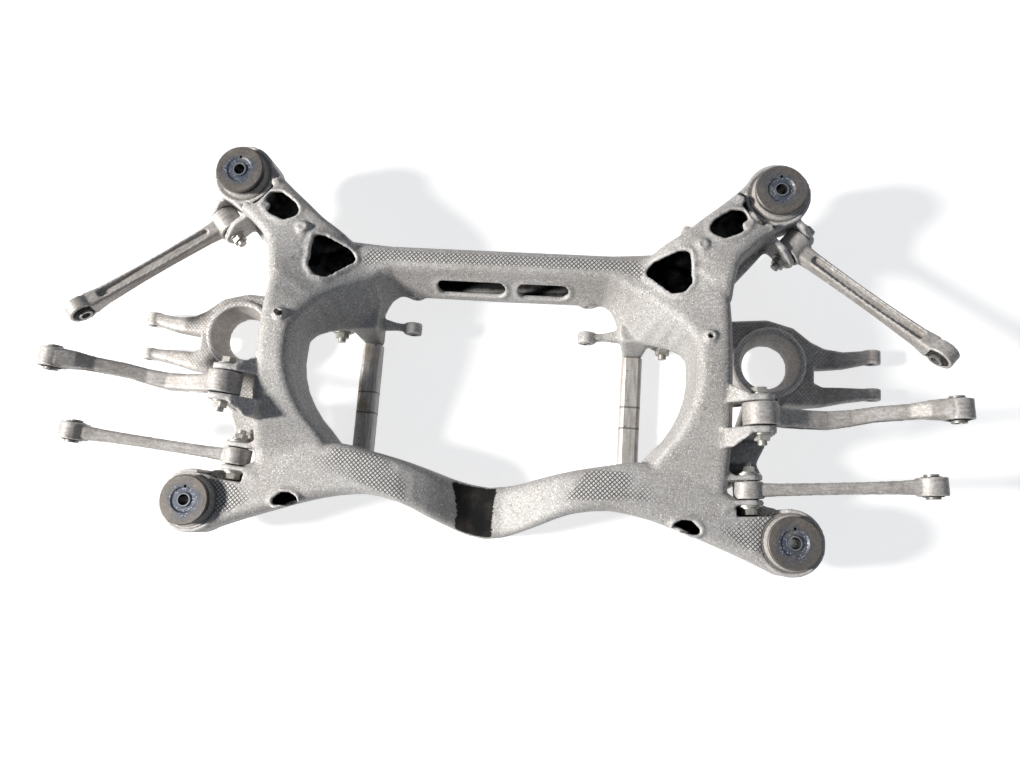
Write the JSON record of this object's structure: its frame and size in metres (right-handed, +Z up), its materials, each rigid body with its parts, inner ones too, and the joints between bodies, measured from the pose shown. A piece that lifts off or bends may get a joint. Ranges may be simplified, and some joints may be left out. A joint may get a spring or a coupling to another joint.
{
  "type": "rear axle beam",
  "caption": "Cast aluminium rear axle beam with four rubber body mounts, two lower bars and hinged suspension links and arms on both sides.",
  "frame": {"origin": "on the floor under the centre of the beam, midway between the four body mounts", "axes": "+X to the right along the beam, +Y to the front crossmember, +Z up"},
  "size_m": [1.4442, 0.659, 0.248],
  "materials": {
    "cast_aluminium": "rough as-cast light grey, fine speckle, slight oxide stains",
    "forged_aluminium": "matt forged light grey with flash lines",
    "bar_aluminium": "extruded, streaked with brown stains",
    "can_steel": "dull steel edge",
    "disc_steel": "dull pressed steel, brownish outer ring, scuffed",
    "rubber": "matt black",
    "sleeve_steel": "dull steel with light rust",
    "zinc_steel": "dull zinc with reddish rust at the ends",
    "dark_steel": "dark phosphated steel"
  },
  "bodies": {
    "subframe": {"cam_washers": "zinc_steel", "camber_link_bolts": "zinc_steel", "camber_link_pivot_sleeves": "sleeve_steel", "front_link_bolts": "zinc_steel", "front_link_pivot_sleeves": "sleeve_steel", "lower_arm_bolts": "zinc_steel", "lower_arm_pivot_sleeves": "sleeve_steel", "lower_bar_left": "bar_aluminium", "lower_bar_right": "bar_aluminium", "mount_can_front_left": "can_steel", "mount_can_front_right": "can_steel", "mount_can_rear_left": "can_steel", "mount_can_rear_right": "can_steel", "mount_core_front_left": "disc_steel", "mount_core_front_right": "disc_steel", "mount_core_rear_left": "disc_steel", "mount_core_rear_right": "disc_steel", "mount_rubber_front_left": "rubber", "mount_rubber_front_right": "rubber", "mount_rubber_rear_left": "rubber", "mount_rubber_rear_right": "rubber", "pivot_nuts": "zinc_steel", "side_stud_left": "dark_steel", "stub_inserts": "sleeve_steel", "subframe_casting": "cast_aluminium", "toe_link_bolts": "zinc_steel", "toe_link_pivot_sleeves": "sleeve_steel"},
    "front_link_right": {"front_link_right": "forged_aluminium", "front_link_inner_bush_right": "rubber", "front_link_outer_bush_right": "rubber", "front_link_outer_sleeve_right": "sleeve_steel"},
    "camber_link_right": {"camber_link_right": "forged_aluminium", "camber_link_inner_bush_right": "rubber", "camber_link_outer_bush_right": "rubber", "camber_link_outer_sleeve_right": "sleeve_steel"},
    "toe_link_right": {"toe_link_right": "forged_aluminium", "toe_link_inner_bush_right": "rubber", "toe_link_outer_bush_right": "rubber", "toe_link_outer_sleeve_right": "sleeve_steel"},
    "lower_arm_right": {"lower_arm_right": "forged_aluminium", "arm_front_bush_right": "rubber", "arm_rear_bush_right": "rubber"},
    "front_link_left": {"front_link_left": "forged_aluminium", "front_link_inner_bush_left": "rubber", "front_link_outer_bush_left": "rubber", "front_link_outer_sleeve_left": "sleeve_steel"},
    "camber_link_left": {"camber_link_left": "forged_aluminium", "camber_link_inner_bush_left": "rubber", "camber_link_outer_bush_left": "rubber", "camber_link_outer_sleeve_left": "sleeve_steel"},
    "toe_link_left": {"toe_link_left": "forged_aluminium", "toe_link_inner_bush_left": "rubber", "toe_link_outer_bush_left": "rubber", "toe_link_outer_sleeve_left": "sleeve_steel"},
    "lower_arm_left": {"lower_arm_left": "forged_aluminium", "arm_front_bush_left": "rubber", "arm_rear_bush_left": "rubber"}
  },
  "joints": [
    {"name": "front_link_pivot_right", "type": "hinge", "parent": "subframe", "child": "front_link_right", "pos_m": [0.482, 0.203, 0.13], "axis": [-0.6334, -0.7738, 0], "range_deg": [-10, 10], "stiffness_Nm_per_rad": 150, "springref_deg": 0.39},
    {"name": "camber_link_pivot_right", "type": "hinge", "parent": "subframe", "child": "camber_link_right", "pos_m": [0.417, -0.09, 0.208], "axis": [0.0753, -0.9972, 0], "range_deg": [-10, 10], "stiffness_Nm_per_rad": 150, "springref_deg": 0.45},
    {"name": "toe_link_pivot_right", "type": "hinge", "parent": "subframe", "child": "toe_link_right", "pos_m": [0.42, -0.2, 0.117], "axis": [0.0815, -0.9967, 0], "range_deg": [-10, 10], "stiffness_Nm_per_rad": 120, "springref_deg": 0.3},
    {"name": "lower_arm_pivot_right", "type": "hinge", "parent": "subframe", "child": "lower_arm_right", "pos_m": [0.284, 0, 0.046], "axis": [0, -1, 0], "range_deg": [-8, 8], "stiffness_Nm_per_rad": 300, "springref_deg": 1.23},
    {"name": "front_link_pivot_left", "type": "hinge", "parent": "subframe", "child": "front_link_left", "pos_m": [-0.482, 0.203, 0.13], "axis": [-0.6334, 0.7738, 0], "range_deg": [-10, 10], "stiffness_Nm_per_rad": 150, "springref_deg": 0.39},
    {"name": "camber_link_pivot_left", "type": "hinge", "parent": "subframe", "child": "camber_link_left", "pos_m": [-0.417, -0.09, 0.208], "axis": [0.0753, 0.9972, 0], "range_deg": [-10, 10], "stiffness_Nm_per_rad": 150, "springref_deg": 0.45},
    {"name": "toe_link_pivot_left", "type": "hinge", "parent": "subframe", "child": "toe_link_left", "pos_m": [-0.42, -0.2, 0.117], "axis": [0.0815, 0.9967, 0], "range_deg": [-10, 10], "stiffness_Nm_per_rad": 120, "springref_deg": 0.3},
    {"name": "lower_arm_pivot_left", "type": "hinge", "parent": "subframe", "child": "lower_arm_left", "pos_m": [-0.284, 0, 0.046], "axis": [0, 1, 0], "range_deg": [-8, 8], "stiffness_Nm_per_rad": 300, "springref_deg": 1.23}
  ]
}
